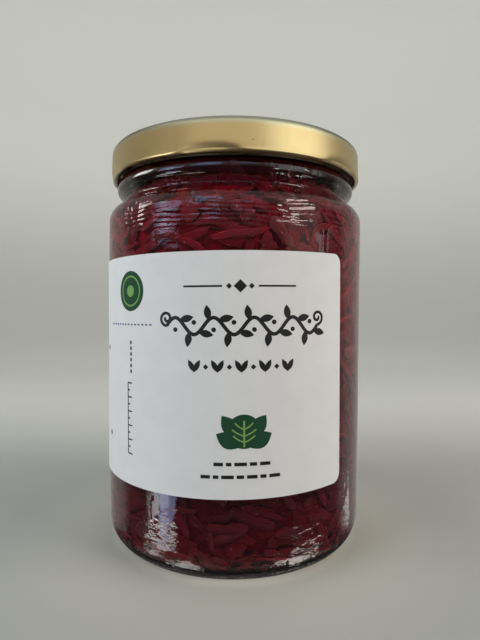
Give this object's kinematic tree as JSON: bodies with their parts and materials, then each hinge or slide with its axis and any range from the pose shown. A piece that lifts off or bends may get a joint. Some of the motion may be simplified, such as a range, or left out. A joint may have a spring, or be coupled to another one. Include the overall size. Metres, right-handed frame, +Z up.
{
  "type": "jar of red cabbage",
  "caption": "Shut round glass jar packed with shredded red cabbage, with a gold twist lid and a wrap-round paper label.",
  "frame": {"origin": "centre of the base, on the surface the jar stands on", "axes": "+Z up along the jar's axis, -Y towards the front of the label, +X to its right"},
  "size_m": [0.0873, 0.0875, 0.1296],
  "materials": {
    "jar_glass": "clear, smooth container glass",
    "lid": "satin gold lacquer on pressed sheet",
    "lid_seal": "soft cream sealing ring",
    "label": "matt white paper with plain print",
    "cabbage": "wet dark crimson shreds in brine"
  },
  "bodies": {
    "root": {"jar_glass": "jar_glass", "lid": "lid", "lid_seal": "lid_seal", "label": "label", "cabbage": "cabbage"}
  },
  "joints": []
}
